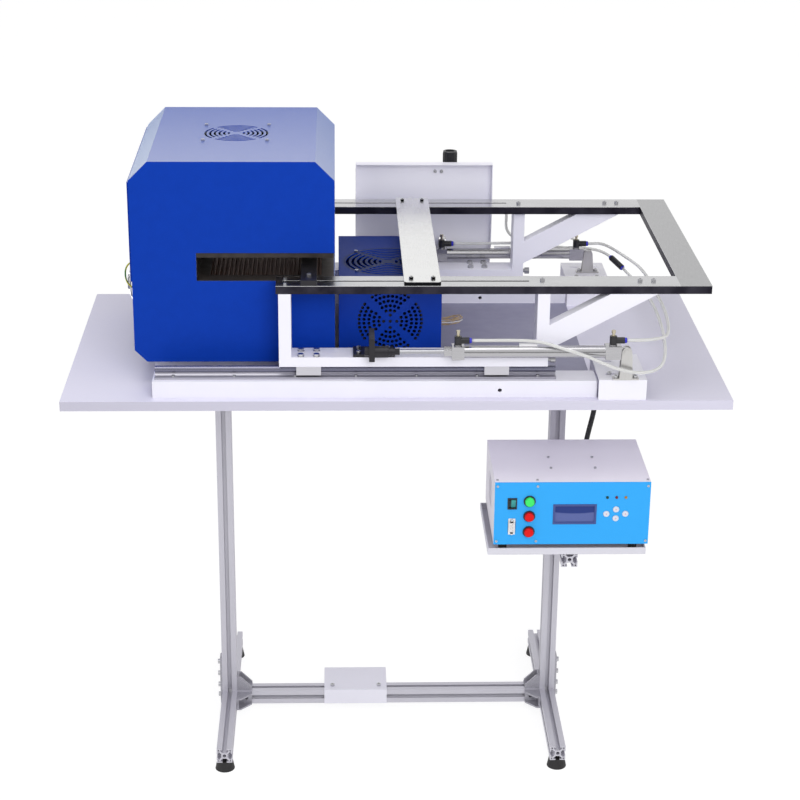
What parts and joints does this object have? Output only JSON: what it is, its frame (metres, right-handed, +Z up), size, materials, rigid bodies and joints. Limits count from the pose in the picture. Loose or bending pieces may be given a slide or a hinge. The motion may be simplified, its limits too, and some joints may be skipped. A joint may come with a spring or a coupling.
{
  "type": "heat shrink machine",
  "caption": "Heat shrink machine: a blue tunnel oven with a pneumatic wire carriage on round rails, on a laminate-topped bench of slotted profile with a control case below.",
  "frame": {"origin": "the middle of the outline of everything but the hoses and the case cable, on the floor under the rubber feet", "axes": "+X along the bench from the oven towards the end of the ring, +Y from the operator to the back, +Z up"},
  "size_m": [1.2, 0.6785, 1.2152],
  "materials": {
    "laminate": "pale laminate, semi-gloss",
    "profile": "anodised extrusion, satin",
    "bracket": "cast, matte",
    "rubber": "matte",
    "white_paint": "powder coat, satin",
    "case_paint": "off-white fine texture",
    "panel_blue": "sky-blue satin film",
    "oven_blue": "blue fine-texture powder coat",
    "black_plastic": "moulded, fine grain",
    "display_glass": "dark window",
    "zinc_steel": "zinc plated",
    "polished_steel": "polished",
    "dark_steel": "blackened",
    "liner_steel": "heat-tinted sheet",
    "copper_mesh": "copper-coloured",
    "hose_clear": "clear, slightly yellow",
    "cable_black": "matte sheath",
    "wire_earth": "yellow-green sheath",
    "wire_tan": "woven tan sleeve",
    "brass": "nickelled brass",
    "cap_green": "green cap",
    "cap_red": "red cap",
    "key_white": "white key"
  },
  "bodies": {
    "machine": {"tabletop": "laminate", "uprights": "profile", "feet": "profile", "beams": "profile", "brackets": "bracket", "rubber_feet": "rubber", "sheet_brackets": "white_paint", "case_body": "case_paint", "case_panel": "panel_blue", "case_trim": "black_plastic", "display": "display_glass", "serial_port": "zinc_steel", "base": "white_paint", "rails": "polished_steel", "oven_shell": "oven_blue", "oven_cover": "oven_blue", "oven_liner": "liner_steel", "heaters": "copper_mesh", "fan_frames": "black_plastic", "fan_guard": "polished_steel", "fan_box": "oven_blue", "rear_panel": "white_paint", "regulator": "black_plastic", "cylinders": "polished_steel", "clevis_blocks": "white_paint", "clevises": "zinc_steel", "air_fittings": "black_plastic", "hose_front": "hose_clear", "hose_cross": "hose_clear", "hose_rear": "hose_clear", "hose_valve": "hose_clear", "case_cable": "cable_black", "earth_wire": "wire_earth", "fan_lead": "wire_tan", "screws": "zinc_steel"},
    "carriage": {"frame_front": "white_paint", "frame_rear": "white_paint", "ring_frame": "polished_steel", "cross_bar": "dark_steel", "slide_blocks": "bracket", "piston_rods": "polished_steel", "rod_joints": "dark_steel", "carriage_screws": "zinc_steel"},
    "plate": {"cross_plate": "polished_steel"},
    "green_button": {"button_green": "cap_green"},
    "red_button_a": {"button_red_a": "cap_red"},
    "red_button_b": {"button_red_b": "cap_red"},
    "switch_rocker": {"rocker": "cap_green"},
    "menu_key_up": {"key_up": "key_white"},
    "menu_key_left": {"key_left": "key_white"},
    "menu_key_right": {"key_right": "key_white"},
    "menu_key_down": {"key_down": "key_white"},
    "pressure_knob": {"regulator_knob": "black_plastic"},
    "needle_front_a": {"needle_fa": "brass"},
    "needle_front_b": {"needle_fb": "brass"},
    "needle_rear_a": {"needle_ra": "brass"},
    "needle_rear_b": {"needle_rb": "brass"},
    "top_rotor": {"fan_top": "black_plastic"},
    "front_rotor": {"fan_front": "black_plastic"},
    "side_rotor": {"fan_side": "black_plastic"}
  },
  "joints": [
    {"name": "carriage_slide", "type": "slide", "parent": "machine", "child": "carriage", "axis": [-1, 0, 0], "range_m": [0, 0.16]},
    {"name": "plate_slide", "type": "slide", "parent": "carriage", "child": "plate", "axis": [1, 0, 0], "range_m": [-0.14, 0.15]},
    {"name": "button_green_press", "type": "slide", "parent": "machine", "child": "green_button", "axis": [0, 1, 0], "range_m": [0, 0.0025], "stiffness_N_per_m": 800, "springref_m": -0.001},
    {"name": "button_red_a_press", "type": "slide", "parent": "machine", "child": "red_button_a", "axis": [0, 1, 0], "range_m": [0, 0.0025], "stiffness_N_per_m": 800, "springref_m": -0.001},
    {"name": "button_red_b_press", "type": "slide", "parent": "machine", "child": "red_button_b", "axis": [0, 1, 0], "range_m": [0, 0.0025], "stiffness_N_per_m": 800, "springref_m": -0.001},
    {"name": "rocker_tilt", "type": "hinge", "parent": "machine", "child": "switch_rocker", "pos_m": [0.2105, -0.3195, 0.595], "axis": [1, 0, 0], "range_deg": [-12, 0]},
    {"name": "key_up_press", "type": "slide", "parent": "machine", "child": "menu_key_up", "axis": [0, 1, 0], "range_m": [0, 0.0008], "stiffness_N_per_m": 1500, "springref_m": -0.0003},
    {"name": "key_left_press", "type": "slide", "parent": "machine", "child": "menu_key_left", "axis": [0, 1, 0], "range_m": [0, 0.0008], "stiffness_N_per_m": 1500, "springref_m": -0.0003},
    {"name": "key_right_press", "type": "slide", "parent": "machine", "child": "menu_key_right", "axis": [0, 1, 0], "range_m": [0, 0.0008], "stiffness_N_per_m": 1500, "springref_m": -0.0003},
    {"name": "key_down_press", "type": "slide", "parent": "machine", "child": "menu_key_down", "axis": [0, 1, 0], "range_m": [0, 0.0008], "stiffness_N_per_m": 1500, "springref_m": -0.0003},
    {"name": "pressure_turn", "type": "hinge", "parent": "machine", "child": "pressure_knob", "pos_m": [0.122, 0.314, 1.07], "axis": [0, 0, 1], "range_deg": [-720, 720]},
    {"name": "needle_front_a_turn", "type": "hinge", "parent": "machine", "child": "needle_front_a", "pos_m": [0.105, -0.322, 0.92], "axis": [0, 0, 1], "range_deg": [-720, 720]},
    {"name": "needle_front_b_turn", "type": "hinge", "parent": "machine", "child": "needle_front_b", "pos_m": [0.38, -0.322, 0.92], "axis": [0, 0, 1], "range_deg": [-720, 720]},
    {"name": "needle_rear_a_turn", "type": "hinge", "parent": "machine", "child": "needle_rear_a", "pos_m": [0.105, 0.259, 0.92], "axis": [0, 0, 1], "range_deg": [-720, 720]},
    {"name": "needle_rear_b_turn", "type": "hinge", "parent": "machine", "child": "needle_rear_b", "pos_m": [0.38, 0.259, 0.92], "axis": [0, 0, 1], "range_deg": [-720, 720]},
    {"name": "top_fan_spin", "type": "hinge", "parent": "machine", "child": "top_rotor", "pos_m": [-0.2925, -0.0315, 1.2], "axis": [0, 0, 1], "continuous": true},
    {"name": "front_fan_spin", "type": "hinge", "parent": "machine", "child": "front_rotor", "pos_m": [-0.0115, -0.1815, 0.903], "axis": [0, 1, 0], "continuous": true},
    {"name": "side_fan_spin", "type": "hinge", "parent": "machine", "child": "side_rotor", "pos_m": [-0.46, -0.0315, 0.925], "axis": [1, 0, 0], "continuous": true}
  ]
}
